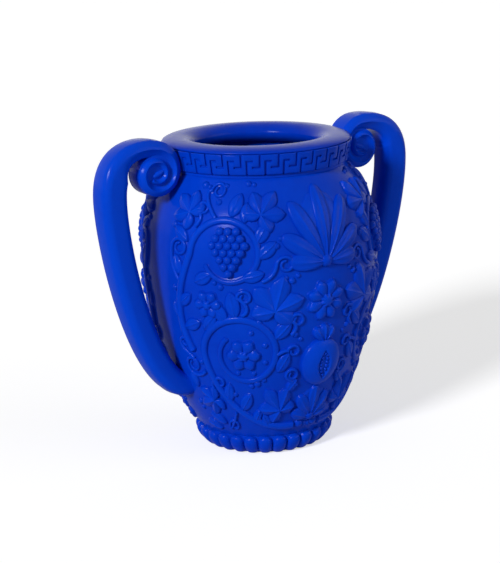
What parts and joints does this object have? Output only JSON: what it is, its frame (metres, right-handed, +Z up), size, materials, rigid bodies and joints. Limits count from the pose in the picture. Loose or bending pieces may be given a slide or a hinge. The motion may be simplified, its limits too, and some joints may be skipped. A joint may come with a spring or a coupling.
{
  "type": "amphora vase",
  "caption": "Wide-bellied amphora vase with a rolled lip, a key-pattern band, volute strap handles, a beaded foot and a fruiting vine in relief.",
  "frame": {"origin": "centre of the foot's land, on the surface the vase stands on", "axes": "+Z up along the turning axis; +X from the left handle to the right one; the front panel faces -Y"},
  "size_m": [0.3772, 0.2536, 0.3376],
  "materials": {
    "foot_glaze": "matte cobalt glaze over pressed beads",
    "body_glaze": "matte cobalt glaze over a turned wall",
    "band_glaze": "matte cobalt glaze, thinner on the edges of the cut pattern",
    "lip_glaze": "matte cobalt glaze with a soft sheen on the roll",
    "handle_glaze": "matte cobalt glaze on pulled clay",
    "sprig_glaze": "matte cobalt glaze on pressed clay ornament"
  },
  "bodies": {
    "root": {"foot_ring": "foot_glaze", "body_shell": "body_glaze", "meander_band": "band_glaze", "rim_lip": "lip_glaze", "handle_left": "handle_glaze", "handle_right": "handle_glaze", "front_calyx": "sprig_glaze", "front_pomegranate": "sprig_glaze", "front_heart_rosette": "sprig_glaze", "front_palmette": "sprig_glaze", "front_low_stem_left": "sprig_glaze", "front_low_stem_right": "sprig_glaze", "front_high_stem_left": "sprig_glaze", "front_high_stem_right": "sprig_glaze", "front_leaf_low_left": "sprig_glaze", "front_leaf_low_right": "sprig_glaze", "front_leaf_side_left": "sprig_glaze", "front_leaf_side_right": "sprig_glaze", "front_leaf_mid_left": "sprig_glaze", "front_leaf_mid_right": "sprig_glaze", "front_leaf_top_left": "sprig_glaze", "front_leaf_top_right": "sprig_glaze", "front_leaf_crown_left": "sprig_glaze", "front_leaf_crown_right": "sprig_glaze", "front_rosette_low_left": "sprig_glaze", "front_rosette_low_right": "sprig_glaze", "front_rosette_mid_left": "sprig_glaze", "front_rosette_mid_right": "sprig_glaze", "front_grapes_left": "sprig_glaze", "front_grapes_right": "sprig_glaze", "back_calyx": "sprig_glaze", "back_pomegranate": "sprig_glaze", "back_heart_rosette": "sprig_glaze", "back_palmette": "sprig_glaze", "back_low_stem_left": "sprig_glaze", "back_low_stem_right": "sprig_glaze", "back_high_stem_left": "sprig_glaze", "back_high_stem_right": "sprig_glaze", "back_leaf_low_left": "sprig_glaze", "back_leaf_low_right": "sprig_glaze", "back_leaf_side_left": "sprig_glaze", "back_leaf_side_right": "sprig_glaze", "back_leaf_mid_left": "sprig_glaze", "back_leaf_mid_right": "sprig_glaze", "back_leaf_top_left": "sprig_glaze", "back_leaf_top_right": "sprig_glaze", "back_leaf_crown_left": "sprig_glaze", "back_leaf_crown_right": "sprig_glaze", "back_rosette_low_left": "sprig_glaze", "back_rosette_low_right": "sprig_glaze", "back_rosette_mid_left": "sprig_glaze", "back_rosette_mid_right": "sprig_glaze", "back_grapes_left": "sprig_glaze", "back_grapes_right": "sprig_glaze"}
  },
  "joints": []
}
